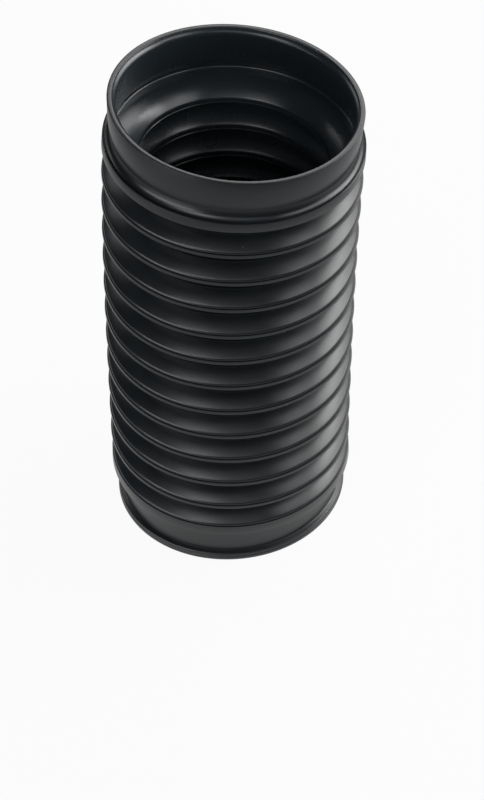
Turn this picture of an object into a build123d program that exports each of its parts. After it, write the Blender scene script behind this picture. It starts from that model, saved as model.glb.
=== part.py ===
from build123d import *
import os

# Rubber bellows boot, moulded in one piece: a clamp collar at each end and a
# run of sharp-lipped folds between them. Millimetres, +Z up. The boot stands on
# its lower end, and the origin is the middle of that end.

# Folds
ordinary_crests = 11        # between the two wide ones
crest_radius = 50.0
lip_height = 1.6            # upright face of an ordinary crest
shoulder_height = 2.1       # the face above the lip, which leans in
shoulder_inset = 2.0
valley_height = 12.0        # top of one lip to the lower edge of the next
end_valley_height = 11.1    # the same, beside a wide crest
root_radius = 40.2          # bottom of a valley
root_share = 0.46           # how far up a valley its root lies
flank_wall = 2.0            # thickness of the rubber in the folds

# Upper collar, over the upper wide crest
upper_land_height = 4.1     # upright face of the wide crest
upper_shoulder_height = 0.9
upper_shoulder_inset = 1.4
neck_radius = 46.9          # groove between the crest and the clamp seat
neck_rise = 3.6             # groove above the top of the land
seat_rise = 6.9             # lower end of the clamp seat above the land
upper_seat_radius = 47.65
rim_rise = 17.0             # mouth above the top of the land
rim_radius = 47.95
upper_bore_radius = 45.2
upper_bore_rise = 5.9       # bore's lower end above the wide crest's edge
upper_crest_wall = 1.9      # rubber round the hollow behind the wide crest
mouth_chamfer = 0.8
mouth_chamfer_height = 3.1

# Lower collar, under the lower wide crest
lower_collar_height = 18.0  # base to the lower edge of the wide crest
lower_land_height = 4.8
lower_seat_radius = 46.0
lower_seat_top = 17.2       # the crest's underside rises from the seat
lower_bore_radius = 43.4
bead_radius = 48.0
bead_height = 3.4
bead_slope_height = 1.0     # from the bead in to the clamp seat
foot_chamfer = 0.5


def moved_flank(inner, outer, distance):
    """The line through two (radius, height) points, moved square to itself."""
    run, rise = outer[0] - inner[0], outer[1] - inner[1]
    length = (run**2 + rise**2) ** 0.5
    return inner[0] - distance * rise / length, inner[1] + distance * run / length, rise / run


def crossing(a, b):
    """Where two lines cross, each given as radius, height and slope."""
    radius = (b[1] - a[1] + a[2] * a[0] - b[2] * b[0]) / (a[2] - b[2])
    return radius, a[1] + a[2] * (radius - a[0])


def height_at(line, radius):
    return line[1] + line[2] * (radius - line[0])


# Lower collar, from the base up to the land of the lower wide crest
outside = [
    (bead_radius - foot_chamfer, 0),
    (bead_radius, foot_chamfer),
    (bead_radius, bead_height),
    (lower_seat_radius, bead_height + bead_slope_height),
    (lower_seat_radius, lower_seat_top),
    (crest_radius, lower_collar_height),
]
land_top = lower_collar_height + lower_land_height

# Folds: each valley has an upper flank on the crest below it and an underside
# on the crest above, and the bore side is those flanks moved in by the wall
inside_flanks = []
for valley in range(ordinary_crests + 1):
    beside_wide_crest = valley in (0, ordinary_crests)
    gap = end_valley_height if beside_wide_crest else valley_height
    shoulder = (crest_radius - shoulder_inset, land_top + shoulder_height)
    root = (root_radius, land_top + gap * root_share)
    edge = (crest_radius, land_top + gap)
    outside += [(crest_radius, land_top), shoulder, root, edge]
    inside_flanks.append(moved_flank(root, shoulder, -flank_wall))
    inside_flanks.append(moved_flank(root, edge, flank_wall))
    land_top = edge[1] + (upper_land_height if valley == ordinary_crests else lip_height)

# Upper collar, from the upper wide crest to the mouth
crest_edge = land_top - upper_land_height
rim = land_top + rim_rise
outside += [
    (crest_radius, land_top),
    (crest_radius - upper_shoulder_inset, land_top + upper_shoulder_height),
    (neck_radius, land_top + neck_rise),
    (upper_seat_radius, land_top + seat_rise),
    (rim_radius, rim),
]

# Bore side, from the mouth down: below the bore the wall opens out behind the
# wide crest, then follows the folds
hollow_radius = crest_radius - upper_crest_wall
inside = [
    (upper_bore_radius + mouth_chamfer, rim),
    (upper_bore_radius, rim - mouth_chamfer_height),
    (upper_bore_radius, crest_edge + upper_bore_rise),
    (hollow_radius, height_at(inside_flanks[-1], hollow_radius)),
]
for lower, upper in reversed(list(zip(inside_flanks, inside_flanks[1:]))):
    inside.append(crossing(lower, upper))
inside += [
    (lower_bore_radius, height_at(inside_flanks[0], lower_bore_radius)),
    (lower_bore_radius, 0),
]

section = make_face(Plane.XZ * Polyline(outside + inside, close=True))
bellows_boot = revolve(section, Axis.Z)

os.makedirs("parts", exist_ok=True)
export_step(bellows_boot, "parts/bellows_boot.step")
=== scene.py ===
import math

import bpy
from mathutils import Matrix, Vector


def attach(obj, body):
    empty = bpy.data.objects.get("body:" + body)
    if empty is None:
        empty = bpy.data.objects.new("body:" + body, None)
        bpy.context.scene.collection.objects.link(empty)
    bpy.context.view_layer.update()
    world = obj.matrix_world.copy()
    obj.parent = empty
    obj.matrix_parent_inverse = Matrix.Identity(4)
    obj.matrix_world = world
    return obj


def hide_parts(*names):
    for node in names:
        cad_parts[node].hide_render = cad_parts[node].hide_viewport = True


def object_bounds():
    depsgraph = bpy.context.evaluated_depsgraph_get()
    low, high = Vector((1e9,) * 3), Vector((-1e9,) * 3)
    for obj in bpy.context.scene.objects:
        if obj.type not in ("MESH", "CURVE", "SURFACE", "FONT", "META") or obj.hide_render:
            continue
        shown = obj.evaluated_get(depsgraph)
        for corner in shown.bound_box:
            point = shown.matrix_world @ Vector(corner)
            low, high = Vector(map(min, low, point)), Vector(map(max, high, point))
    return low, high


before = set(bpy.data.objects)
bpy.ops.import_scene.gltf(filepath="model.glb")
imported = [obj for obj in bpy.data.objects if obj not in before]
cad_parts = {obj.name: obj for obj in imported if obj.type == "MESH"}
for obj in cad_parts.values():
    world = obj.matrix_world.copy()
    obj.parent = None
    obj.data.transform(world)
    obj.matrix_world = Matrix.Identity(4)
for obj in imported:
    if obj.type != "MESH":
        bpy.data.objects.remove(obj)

# Rubber bellows boot in satin black, as it comes out of its mould: two clamp
# collars and a run of sharp-lipped folds, leaning a little as soft rubber does.
# Lengths in the section are millimetres, and everything in Blender is metres.

MM = 0.001
cad_low, cad_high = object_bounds()
crest_radius = cad_high.x / MM
rim_height = cad_high.z / MM

# Folds
ordinary_crests = 11
lip_height = 1.6
shoulder_height = 2.1
shoulder_inset = 2.0
valley_height = 12.0
end_valley_height = 11.1
root_radius = 40.2
root_share = 0.46
root_round = 0.65
flank_wall = 2.0
lip_taper = 0.15            # how far the lip's face leans in by its top
crease_depth = 0.85         # fine slit of a crease above a lip, where the mould parts
crease_height = 0.34
crease_drop = 0.08          # its middle below the top of the land
shoulder_step = 0.5         # where the shoulder starts, in from the crest
shoulder_round = 1.4
flank_bends = ((2.6, 42.0), (2.6, 23.0))    # an arched upper flank, from its shoulder in:
flank_foot = (2.6, 8.0)                     # each stretch across, and its slope
flank_arch = 11.0
edge_round = 0.16           # lips are crisp, but not knife-sharp
nose_radius = 36.6          # the folds' inner noses
nose_depth = 2.3            # from where a flat slope would end to a nose's lower edge
nose_round = 2.0
nose_drop = 0.4             # top of a nose's face, below where a flat slope would end
nose_bends = ((-3.2, 47.0), (-3.9, 24.0))   # an arched slope, from its nose out
nose_arch = 13.0
top_nose_bends = ((-3.2, 48.0), (-3.9, 35.5))
hollow_bend = (-4.4, 11.0)  # its last stretch, to the hollow behind the wide crest
seam_height = 0.25          # fine raised seam along a nose's lower edge
seam_rise = 0.16
inner_crest_round = 0.6

# Upper collar
upper_land_height = 4.1
wide_crease_depth = 0.5     # the crease above the wide crest is not so deep
wide_crease_step = 0.1      # its upper edge stands this much further out
wide_crease_round = 0.05
upper_seat_height = 194.4
upper_seat_radius = 47.65
seat_round = 20.0
rim_radius = 47.93
rim_round = 0.12
neck_radius = 46.9
neck_foot = 185.2           # where the wide crest's shoulder would meet the neck
neck_flare = 0.25           # the neck is this much wider there
neck_height = 190.3
neck_round = 4.9
mouth_radius = 46.1         # inner edge of the rim's flat face
mouth_round = 0.1
mouth_line_width = 0.2      # fine groove between that face and the lip band
mouth_line_depth = 0.5
lip_band_top = 0.35         # in from the mouth's edge, and below the rim
lip_band_top_round = 0.15
lip_band_foot = 2.0         # below the rim
lip_band_reach = 0.85       # how far its foot stands in from the bore
lip_band_foot_round = 2.5
upper_bore_radius = 45.2
bore_foot_height = 188.5    # below it the wall opens out behind the wide crest
bore_foot_round = 1.5
hollow_round = 1.2

# Lower collar
lower_collar_height = 18.0
lower_land_height = 4.8
lower_crest_round = 0.2
lower_seat_radius = 46.0
lower_seat_top = 17.2
seat_top_round = 0.9
lower_bore_radius = 43.4
lower_bore_round = 0.6
lower_mouth_round = 0.3
bead_radius = 48.0
bead_height = 3.3
bead_top_inset = 0.2
bead_top_round = 0.55
foot_round = 0.45
bead_line_height = 1.75     # a fine line parts the bead in two bands
bead_line_top = 2.15
bead_line_floor = 1.95
bead_line_depth = 0.22
bead_band_inset = 0.12      # the upper band starts this much further in
bead_line_round = 0.1
bead_line_floor_round = 0.05
groove_depth = 0.15         # groove between the bead and the clamp seat
groove_height = 0.75        # its bottom above the bead
groove_top = 1.5            # and its upper end
groove_round = 0.3

turns = 176                 # facets round the boot
weld_distance = 0.000005    # metres
sharp_angle = 32            # degrees; edges that turn by more are shown sharp
broad_rounding = 0.7        # mm; what is rounded by less gets fewer facets
broad_segments = 4
gentle_rounding = 5.0       # mm; and so does what is rounded by more
few_segments = 2


# ---------------------------------------------------------------- the section

def moved_flank(inner, outer, distance):
    """The line through two (radius, height) points, moved square to itself."""
    run, rise = outer[0] - inner[0], outer[1] - inner[1]
    length = math.hypot(run, rise)
    moved = inner[0] - distance * rise / length, inner[1] + distance * run / length
    return *moved, rise / run


def height_on(line, radius):
    return line[1] + line[2] * (radius - line[0])


def radius_on(line, height):
    return line[0] + (height - line[1]) / line[2]


def meeting(lower, upper):
    """Radius where two bore-side flanks meet."""
    rise = upper[1] - lower[1] + lower[2] * lower[0] - upper[2] * upper[0]
    return rise / (lower[2] - upper[2])


def arched(start, bends, arch):
    """Corners of an arched face: each stretch goes in by its width and up by its slope."""
    radius, height = start
    corners = []
    for width, slope in bends:
        radius -= width
        height += abs(width) * math.tan(math.radians(slope))
        corners.append((radius, height, arch))
    return corners


def collar_foot():
    """Outside of the lower collar: the bead in two bands, its groove and the clamp seat."""
    return [
        (bead_radius, 0.0, foot_round),
        (bead_radius, bead_line_height, bead_line_round),
        (bead_radius - bead_line_depth, bead_line_floor, bead_line_floor_round),
        (bead_radius - bead_band_inset, bead_line_top, bead_line_round),
        (bead_radius - bead_top_inset, bead_height, bead_top_round),
        (lower_seat_radius - groove_depth, bead_height + groove_height, groove_round),
        (lower_seat_radius, bead_height + groove_top, groove_round),
        (lower_seat_radius, lower_seat_top, seat_top_round),
        (crest_radius, lower_collar_height, lower_crest_round),
    ]


def folds():
    """Outside corners of every valley from the bottom up, and its two bore-side flanks."""
    corners, flanks = [], []
    land_top = lower_collar_height + lower_land_height
    for valley in range(ordinary_crests + 1):
        gap = end_valley_height if valley in (0, ordinary_crests) else valley_height
        shoulder = (crest_radius - shoulder_inset, land_top + shoulder_height)
        root = (root_radius, land_top + gap * root_share)
        edge = (crest_radius, land_top + gap)
        arch = arched(shoulder, flank_bends, flank_arch)
        arch += arched(arch[-1][:2], [flank_foot], root_round)
        upper_face = moved_flank(arch[0][:2], shoulder, 0)
        crease = land_top - crease_drop
        step = crest_radius - shoulder_step
        corners += [
            (crest_radius - lip_taper, crease - crease_height / 2, 0.0),
            (crest_radius - crease_depth, crease, 0.0),
            (step, crease + crease_height / 2, 0.0),
            (step, height_on(upper_face, step), shoulder_round),
            *arch,
            (crest_radius, edge[1], edge_round),
        ]
        flanks.append(moved_flank(root, shoulder, -flank_wall))
        flanks.append(moved_flank(root, edge, flank_wall))
        land_top = edge[1] + (upper_land_height if valley == ordinary_crests else lip_height)
    return corners, flanks, land_top


def collar_top(land_top):
    """Outside of the upper collar, from the wide crest's land to the rim."""
    crease = land_top - crease_drop
    crease_floor = crest_radius - wide_crease_depth
    return [
        (crest_radius - lip_taper, crease - crease_height / 2, wide_crease_round),
        (crease_floor, crease, 0.0),
        (crease_floor + wide_crease_step, crease + crease_height / 2, wide_crease_round),
        (neck_radius + neck_flare, neck_foot, neck_round),
        (neck_radius, neck_height, neck_round),
        (upper_seat_radius, upper_seat_height, seat_round),
        (rim_radius, rim_height, rim_round),
    ]


def mouth():
    """Rim's inner edge, the lip band below it and the bore wall down to where it opens out."""
    return [
        (mouth_radius, rim_height, mouth_round),
        (mouth_radius - mouth_line_width, rim_height - mouth_line_depth, 0.0),
        (mouth_radius - lip_band_top, rim_height - lip_band_top, lip_band_top_round),
        (upper_bore_radius - lip_band_reach, rim_height - lip_band_foot, lip_band_foot_round),
        (upper_bore_radius, bore_foot_height, bore_foot_round),
    ]


def bore(flanks):
    """Bore side of the folds from the top down: each nose, and the crest behind it."""
    corners = []
    for valley in range(ordinary_crests, -1, -1):
        lower, upper = flanks[2 * valley], flanks[2 * valley + 1]
        flat_end = height_on(upper, nose_radius)
        nose_top = (nose_radius, flat_end - nose_drop)
        under = flat_end - nose_depth
        if valley == ordinary_crests:
            slope = arched(nose_top, top_nose_bends, nose_arch)
            corners += arched(slope[-1][:2], [hollow_bend], hollow_round)
        else:
            slope = arched(nose_top, nose_bends, nose_arch)
            over = flanks[2 * valley + 2]
            crest = meeting(upper, over)
            corners.append((crest, height_on(upper, crest), inner_crest_round))
        corners += [
            *reversed(slope),
            (*nose_top, nose_round),
            (nose_radius, under + seam_height + seam_rise, 0.0),
            (nose_radius - seam_rise, under + seam_height, 0.0),
            (nose_radius - seam_rise, under, 0.0),
            (radius_on(lower, under), under, 0.0),
        ]
    corners += [
        (lower_bore_radius, height_on(flanks[0], lower_bore_radius), lower_bore_round),
        (lower_bore_radius, 0.0, lower_mouth_round),
    ]
    return corners


def section_corners():
    corners, flanks, land_top = folds()
    return collar_foot() + corners + collar_top(land_top) + mouth() + bore(flanks)


# ------------------------------------------------------------ modelling helpers

def only(piece):
    """Deselects everything and makes one piece the active one."""
    bpy.ops.object.select_all(action="DESELECT")
    piece.select_set(True)
    bpy.context.view_layer.objects.active = piece


def apply_modifier(piece, kind, **settings):
    modifier = piece.modifiers.new(kind.lower(), kind)
    for name, value in settings.items():
        setattr(modifier, name, value)
    only(piece)
    bpy.ops.object.modifier_apply(modifier=modifier.name)


def round_length(before, corner, after):
    """How far from a corner its rounding starts, along both edges."""
    one = math.atan2(corner[1] - before[1], corner[0] - before[0])
    two = math.atan2(after[1] - corner[1], after[0] - corner[0])
    turn = abs((two - one + math.pi) % (2 * math.pi) - math.pi)
    return corner[2] * math.tan(turn / 2)


def spot(place):
    """A corner's radius and height, to a hundredth, to find it again on the wire."""
    return round(place[0], 2), round(place[1], 2)


def draw_section(corners):
    """A closed wire in the XZ plane, one corner extruded from the one before."""
    bpy.ops.object.select_all(action="DESELECT")
    bpy.ops.mesh.primitive_plane_add(size=MM, location=(0, 0, 0))
    wire = bpy.context.object
    bpy.ops.object.mode_set(mode="EDIT")
    bpy.ops.mesh.merge(type="CENTER")
    first = corners[0]
    bpy.ops.transform.translate(value=(first[0] * MM, 0, first[1] * MM))
    for before, corner in zip(corners, corners[1:]):
        step = ((corner[0] - before[0]) * MM, 0, (corner[1] - before[1]) * MM)
        bpy.ops.mesh.extrude_vertices_move(TRANSFORM_OT_translate={"value": step})
    bpy.ops.object.mode_set(mode="OBJECT")
    ends = (0, len(corners) - 1)
    for point in wire.data.vertices:
        point.select = point.index in ends
    bpy.ops.object.mode_set(mode="EDIT")
    bpy.ops.mesh.select_mode(type="VERT")
    bpy.ops.mesh.edge_face_add()
    bpy.ops.object.mode_set(mode="OBJECT")
    return wire


def round_corners(wire, corners, segments, wanted):
    """Rounds the wanted corners, each by its own radius, with one vertex bevel."""
    around = zip([corners[-1]] + corners[:-1], corners, corners[1:] + [corners[0]])
    lengths = {
        spot(corner): round_length(before, corner, after)
        for before, corner, after in around if wanted(corner[2])
    }
    widest = max(lengths.values())
    weights = wire.data.attributes.get("bevel_weight_vert")
    if weights is None:
        weights = wire.data.attributes.new("bevel_weight_vert", "FLOAT", "POINT")
    for weight, point in zip(weights.data, wire.data.vertices):
        weight.value = lengths.get(spot((point.co.x / MM, point.co.z / MM)), 0.0) / widest
    apply_modifier(
        wire, "BEVEL", affect="VERTICES", limit_method="WEIGHT", offset_type="OFFSET",
        width=widest * MM, segments=segments, use_clamp_overlap=False,
    )


def spin_round(wire):
    only(wire)
    bpy.ops.object.mode_set(mode="EDIT")
    bpy.ops.mesh.select_all(action="SELECT")
    bpy.ops.mesh.spin(steps=turns, angle=2 * math.pi, center=(0, 0, 0), axis=(0, 0, 1))
    bpy.ops.mesh.select_all(action="SELECT")
    bpy.ops.mesh.remove_doubles(threshold=weld_distance)
    bpy.ops.mesh.normals_make_consistent(inside=False)
    bpy.ops.object.mode_set(mode="OBJECT")


# ------------------------------------------------------- how the soft boot sits

lean_from = 34.0            # the boot stands straight up to here, then leans
lean_span = 140.0
lean_degrees = (-0.36, 1.66, 1.19)      # times the height share, its square and its cube
rim_lean = 0.5              # a little more at the free end
foot_shift = 0.5
foot_oval = 0.24            # left and right further out than front and back
foot_skew = 0.9             # and one diagonal further out than the other
rim_shift = -0.29
rim_oval = 0.33
foot_fade = 45.0            # height where the foot's oval is gone
rim_fade = 188.0            # height where the rim's oval begins
cage_levels = 41
cage_width = 110.0


def smooth(share):
    share = min(max(share, 0.0), 1.0)
    return share * share * (3 - 2 * share)


def lean_at(height):
    """Sideways lean in radians, and the shift of the centre in millimetres."""
    share = max(height - lean_from, 0.0) / lean_span
    lean = sum(k * share ** n for n, k in enumerate(lean_degrees, 1))
    shift = sum(k * share ** (n + 1) / (n + 1) for n, k in enumerate(lean_degrees, 1))
    return math.radians(lean), math.radians(shift) * lean_span


def settle(piece):
    """Leans the boot and draws its two ends slightly oval, with a lattice cage."""
    bpy.ops.object.select_all(action="DESELECT")
    bpy.ops.object.add(type="LATTICE", location=(0, 0, rim_height * MM / 2))
    cage = bpy.context.object
    cage.scale = (cage_width * MM, cage_width * MM, rim_height * MM)
    cage.data.points_u, cage.data.points_v, cage.data.points_w = 2, 2, cage_levels
    cage.data.interpolation_type_u = cage.data.interpolation_type_v = "KEY_LINEAR"
    cage.data.interpolation_type_w = "KEY_CARDINAL"
    half = cage_width / 2
    for point in cage.data.points:
        height = (point.co.z + 0.5) * rim_height
        x = math.copysign(half, point.co.x)
        y = math.copysign(half, point.co.y)
        foot = 1 - smooth(height / foot_fade)
        rim = smooth((height - rim_fade) / (rim_height - rim_fade))
        lean, shift = lean_at(height)
        lean += math.radians(rim_lean) * rim
        shift += rim_shift * rim + foot_shift * foot
        oval = (foot_oval * foot + rim_oval * rim) / rim_radius
        skew = foot_skew * foot / bead_radius
        across = x * (1 + oval) + y * skew
        along = y * (1 - oval) + x * skew
        place = (shift + across * math.cos(lean), along, height - across * math.sin(lean))
        point.co_deform = (
            place[0] / cage_width,
            place[1] / cage_width,
            place[2] / rim_height - 0.5,
        )
    apply_modifier(piece, "LATTICE", object=cage)
    bpy.data.objects.remove(cage)


def mark_bore_side(piece):
    """Marks the faces that look towards the axis, which are smoother and painted a lighter
    tone: painted light on the bore side.
    """
    mark = piece.data.attributes.new("bore_side", "FLOAT", "FACE")
    for value, face in zip(mark.data, piece.data.polygons):
        inward = face.normal.x * face.center.x + face.normal.y * face.center.y < 0
        value.value = 1.0 if inward else 0.0


def make_boot():
    corners = section_corners()
    boot = draw_section(corners)
    boot.name = boot.data.name = "bellows_boot_skin"
    round_corners(boot, corners, few_segments, lambda radius: radius > gentle_rounding)
    round_corners(
        boot, corners, broad_segments,
        lambda radius: broad_rounding < radius < gentle_rounding,
    )
    round_corners(boot, corners, few_segments, lambda radius: 0 < radius < broad_rounding)
    spin_round(boot)
    mark_bore_side(boot)
    settle(boot)
    only(boot)
    bpy.ops.object.shade_smooth_by_angle(angle=math.radians(sharp_angle))
    return boot


# -------------------------------------------------------------------- materials

fine_black = (0.0036, 0.0050, 0.0062, 1)
uneven_black = (0.0050, 0.0068, 0.0084, 1)
# painted light: a lighter tone on the bore side, standing in for the light that falls on the
# bore walls
painted_bore_light_black = (0.016, 0.021, 0.025, 1)
lint_grey = (0.10, 0.10, 0.095, 1)
bore_side_gloss = 0.04      # how much smoother the bore side is
slow_share = 1.5            # of the slow unevenness, beside the fine grain
clean_share = 0.86          # of the cells that could hold a speck


def new_group(name, inputs, outputs):
    group = bpy.data.node_groups.new(name, "ShaderNodeTree")
    for label, kind, value in inputs:
        socket = group.interface.new_socket(label, in_out="INPUT", socket_type=kind)
        if value is not None:
            socket.default_value = value
    for label, kind in outputs:
        group.interface.new_socket(label, in_out="OUTPUT", socket_type=kind)
    return group, group.nodes.new("NodeGroupInput"), group.nodes.new("NodeGroupOutput")


def node(tree, kind, **settings):
    made = tree.nodes.new(kind)
    for name, value in settings.items():
        setattr(made, name, value)
    return made


def math_node(tree, operation, one, two):
    made = node(tree, "ShaderNodeMath", operation=operation)
    for socket, value in zip(made.inputs, (one, two)):
        if isinstance(value, (int, float)):
            socket.default_value = value
        else:
            tree.links.new(value, socket)
    return made.outputs[0]


def noise(tree, place, scale, detail, rough):
    made = node(tree, "ShaderNodeTexNoise")
    made.inputs["Scale"].default_value = scale
    made.inputs["Detail"].default_value = detail
    made.inputs["Roughness"].default_value = rough
    tree.links.new(place, made.inputs["Vector"])
    return made.outputs["Fac"]


def ramp(tree, value, low, high):
    made = node(tree, "ShaderNodeMapRange", interpolation_type="SMOOTHSTEP")
    made.inputs["From Min"].default_value = low
    made.inputs["From Max"].default_value = high
    tree.links.new(value, made.inputs["Value"])
    return made.outputs["Result"]


def moulded_grain_group():
    """Fine satin grain of a blasted mould, with a slow unevenness under it."""
    group, inlet, outlet = new_group(
        "moulded_grain",
        [("Place", "NodeSocketVector", None), ("Grain Scale", "NodeSocketFloat", 2600.0)],
        [("Height", "NodeSocketFloat"), ("Unevenness", "NodeSocketFloat")],
    )
    links = group.links
    grain = node(group, "ShaderNodeTexNoise")
    grain.inputs["Detail"].default_value = 2.0
    links.new(inlet.outputs["Place"], grain.inputs["Vector"])
    links.new(inlet.outputs["Grain Scale"], grain.inputs["Scale"])
    slow = noise(group, inlet.outputs["Place"], scale=55.0, detail=4.0, rough=0.55)
    swell = math_node(group, "MULTIPLY", slow, slow_share)
    height = math_node(group, "ADD", grain.outputs["Fac"], swell)
    links.new(height, outlet.inputs["Height"])
    links.new(ramp(group, slow, low=0.3, high=0.7), outlet.inputs["Unevenness"])
    return group


def settled_dust_group():
    """A few pale specks of lint, as a mask."""
    group, inlet, outlet = new_group(
        "settled_dust",
        [("Place", "NodeSocketVector", None), ("Speck Size", "NodeSocketFloat", 0.06)],
        [("Specks", "NodeSocketFloat")],
    )
    cells = node(group, "ShaderNodeTexVoronoi")
    cells.inputs["Scale"].default_value = 170.0
    group.links.new(inlet.outputs["Place"], cells.inputs["Vector"])
    near = math_node(group, "LESS_THAN", cells.outputs["Distance"], inlet.outputs["Speck Size"])
    split = node(group, "ShaderNodeSeparateColor")
    group.links.new(cells.outputs["Color"], split.inputs["Color"])
    rare = math_node(group, "GREATER_THAN", split.outputs["Red"], clean_share)
    group.links.new(math_node(group, "MULTIPLY", near, rare), outlet.inputs["Specks"])
    return group


def satin_rubber(grain_group, dust_group):
    material = bpy.data.materials.new("satin_black_rubber")
    material.use_nodes = True
    tree = material.node_tree
    shader = tree.nodes["Principled BSDF"]
    place = node(tree, "ShaderNodeTexCoord").outputs["Object"]
    grain = node(tree, "ShaderNodeGroup", node_tree=grain_group)
    grain.inputs["Grain Scale"].default_value = 2600.0
    dust = node(tree, "ShaderNodeGroup", node_tree=dust_group)
    dust.inputs["Speck Size"].default_value = 0.05
    tree.links.new(place, grain.inputs["Place"])
    tree.links.new(place, dust.inputs["Place"])

    tone = node(tree, "ShaderNodeMix", data_type="RGBA")
    tone.inputs["A"].default_value = fine_black
    tone.inputs["B"].default_value = uneven_black
    tree.links.new(grain.outputs["Unevenness"], tone.inputs["Factor"])
    bore_side = node(tree, "ShaderNodeAttribute", attribute_name="bore_side")
    # the bore side is painted lighter as painted light on its walls; only its smoother gloss is
    # the rubber's own
    painted_bore_light = node(tree, "ShaderNodeMix", data_type="RGBA")
    painted_bore_light.inputs["B"].default_value = painted_bore_light_black
    tree.links.new(bore_side.outputs["Fac"], painted_bore_light.inputs["Factor"])
    tree.links.new(tone.outputs["Result"], painted_bore_light.inputs["A"])
    specked = node(tree, "ShaderNodeMix", data_type="RGBA")
    specked.inputs["B"].default_value = lint_grey
    tree.links.new(dust.outputs["Specks"], specked.inputs["Factor"])
    tree.links.new(painted_bore_light.outputs["Result"], specked.inputs["A"])
    tree.links.new(specked.outputs["Result"], shader.inputs["Base Color"])

    gloss = node(tree, "ShaderNodeMapRange")
    gloss.inputs["To Min"].default_value = 0.30
    gloss.inputs["To Max"].default_value = 0.34
    tree.links.new(grain.outputs["Unevenness"], gloss.inputs["Value"])
    smoother = math_node(tree, "MULTIPLY", bore_side.outputs["Fac"], bore_side_gloss)
    roughness = math_node(tree, "SUBTRACT", gloss.outputs["Result"], smoother)
    tree.links.new(roughness, shader.inputs["Roughness"])
    shader.inputs["IOR"].default_value = 1.52

    bump = node(tree, "ShaderNodeBump")
    bump.inputs["Strength"].default_value = 0.10
    bump.inputs["Distance"].default_value = 0.00012
    tree.links.new(grain.outputs["Height"], bump.inputs["Height"])
    tree.links.new(bump.outputs["Normal"], shader.inputs["Normal"])
    return material


# ------------------------------------------------------------------------ stage

paper_size = 12
paper_drop = 0.0003         # just under the boot's foot
paper_foot = (0.055, 0.16)  # metres from the axis, where the paper's painted glow, seen only in the rubber's reflections, is strongest
paper_near = (0.3, 0.7)     # over this the painted glow that the rubber mirrors ends
paper_far = (0.35, 0.8)     # over this the paper's colour darkens, but not to the camera: painted shade, the light falling off away from the boot
look_down = 45.15           # degrees, the camera's slope


def fade(tree, value, near, far, at_near, at_far):
    """A value that goes evenly from one to another between two distances."""
    made = node(tree, "ShaderNodeMapRange")
    made.inputs["From Min"].default_value = near
    made.inputs["From Max"].default_value = far
    made.inputs["To Min"].default_value = at_near
    made.inputs["To Max"].default_value = at_far
    tree.links.new(value, made.inputs["Value"])
    return made.outputs["Result"]


def white_to_the_camera(tree, light_path, plain, camera_share, mirrored_share):
    """Mixes a plain white glow over what the camera sees, so the paper stays white.

    Glossy rubber sees a share of that white too, as a painted glow in its reflections.
    """
    glow = node(tree, "ShaderNodeEmission")
    glow.inputs["Color"].default_value = (1, 1, 1, 1)
    mixed = node(tree, "ShaderNodeMixShader")
    straight = light_path.outputs["Is Camera Ray"]
    through = light_path.outputs["Is Transmission Ray"]
    seen = math_node(tree, "MAXIMUM", straight, through)
    mirrored = math_node(tree, "MULTIPLY", light_path.outputs["Is Glossy Ray"], mirrored_share)
    shown = math_node(tree, "MULTIPLY", seen, camera_share)
    tree.links.new(math_node(tree, "MAXIMUM", shown, mirrored), mixed.inputs["Fac"])
    tree.links.new(plain, mixed.inputs[1])
    tree.links.new(glow.outputs["Emission"], mixed.inputs[2])
    return mixed.outputs[0]


def paper_floor():
    bpy.ops.object.select_all(action="DESELECT")
    bpy.ops.mesh.primitive_plane_add(size=paper_size, location=(0, 0, -paper_drop))
    floor = bpy.context.object
    floor.name = "paper_floor"
    material = bpy.data.materials.new("white_paper")
    material.use_nodes = True
    tree = material.node_tree
    shader = tree.nodes["Principled BSDF"]
    shader.inputs["Roughness"].default_value = 0.9
    place = node(tree, "ShaderNodeTexCoord").outputs["Object"]
    from_axis = node(tree, "ShaderNodeVectorMath", operation="LENGTH")
    tree.links.new(place, from_axis.inputs[0])
    distance = from_axis.outputs["Value"]
    # painted shade: the paper's colour darkens with distance from the boot, standing in for
    # light falling off
    painted_falloff = fade(tree, distance, *paper_far, at_near=0.6, at_far=0.05)
    tree.links.new(painted_falloff, shader.inputs["Base Color"])
    # painted light: a glow seen only in reflections, strongest near the foot, standing in for
    # the paper lit brightest there
    painted_glow_near_foot = fade(tree, distance, *paper_foot, at_near=0.75, at_far=0.22)
    in_reach = fade(tree, distance, *paper_near, at_near=1, at_far=0)
    mirrored_share = math_node(tree, "MULTIPLY", painted_glow_near_foot, in_reach)
    camera_share = fade(tree, distance, *paper_far, at_near=0.94, at_far=1.0)
    light_path = node(tree, "ShaderNodeLightPath")
    shown = white_to_the_camera(
        tree, light_path, shader.outputs["BSDF"], camera_share, mirrored_share,
    )
    tree.links.new(shown, tree.nodes["Material Output"].inputs["Surface"])
    floor.data.materials.append(material)


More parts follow.
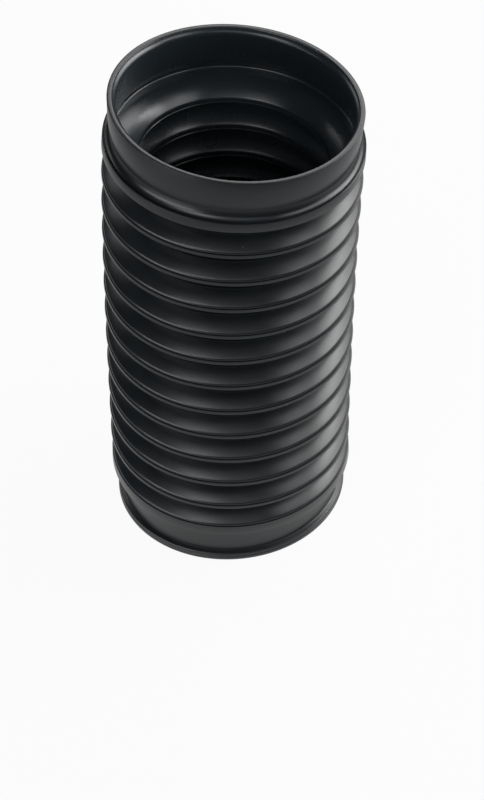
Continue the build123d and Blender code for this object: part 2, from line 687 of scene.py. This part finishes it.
def studio_world():
    world = bpy.data.worlds.new("studio")
    bpy.context.scene.world = world
    world.use_nodes = True
    tree = world.node_tree
    room = tree.nodes["Background"]
    room.inputs["Color"].default_value = (0.04, 0.05, 0.06, 1)
    backdrop = node(tree, "ShaderNodeBackground")
    backdrop.inputs["Color"].default_value = (1, 1, 1, 1)
    light_path = node(tree, "ShaderNodeLightPath")
    mixed = node(tree, "ShaderNodeMixShader")
    tree.links.new(light_path.outputs["Is Camera Ray"], mixed.inputs["Fac"])
    tree.links.new(room.outputs["Background"], mixed.inputs[1])
    tree.links.new(backdrop.outputs["Background"], mixed.inputs[2])
    tree.links.new(mixed.outputs[0], tree.nodes["World Output"].inputs["Surface"])


def soft_box(name, azimuth, elevation, distance, width, height, brightness):
    """A soft box seen from the boot at an azimuth (0 is right, 90 behind) and elevation."""
    a, e = math.radians(azimuth), math.radians(elevation)
    lamp = bpy.data.lights.new(name, "AREA")
    lamp.shape = "RECTANGLE"
    lamp.size, lamp.size_y = width, height
    lamp.energy = brightness * math.pi * width * height
    box = bpy.data.objects.new(name, lamp)
    bpy.context.scene.collection.objects.link(box)
    middle = rim_height * MM / 2
    box.location = (
        distance * math.cos(e) * math.cos(a),
        distance * math.cos(e) * math.sin(a),
        distance * math.sin(e) + middle,
    )
    box.rotation_euler = (math.pi / 2 - e, 0, a + math.pi / 2)
    return box


def lights():
    """Each box by its azimuth, elevation, distance, width, height and brightness."""
    soft_box("big_box_right", 15, 16, 1.2, 1.25, 0.7, 3.9)
    soft_box("bright_box_right", 11, 24, 1.15, 0.55, 0.3, 6.0)
    soft_box("box_right_rear", 64, 38, 1.2, 1.3, 0.34, 4.6)
    soft_box("low_box_left_front", 218, 6, 1.2, 1.0, 0.34, 5.2)
    soft_box("box_front_above", 268, 35, 1.25, 1.2, 0.42, 1.1)
    soft_box("box_left_front_above", 240, 32, 1.2, 0.6, 0.4, 3.4)
    soft_box("box_right_front", 332, 34, 1.2, 0.5, 0.4, 3.4)
    soft_box("box_left_rear", 140, 25, 1.2, 0.5, 0.4, 1.8)


def camera():
    eye = bpy.data.cameras.new("camera")
    eye.lens = 110.1
    eye.sensor_width = 36
    eye.clip_start, eye.clip_end = 0.05, 50
    stand = bpy.data.objects.new("camera", eye)
    bpy.context.scene.collection.objects.link(stand)
    stand.location = (0.0051, -0.7192, 0.7694)
    stand.rotation_euler = (math.radians(90 - look_down), 0, 0)
    bpy.context.scene.camera = stand


bpy.context.scene.view_settings.view_transform = "Standard"
boot = make_boot()
boot.data.materials.append(satin_rubber(moulded_grain_group(), settled_dust_group()))
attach(boot, "root")
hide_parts("bellows_boot")
camera()
studio_world()
paper_floor()
lights()
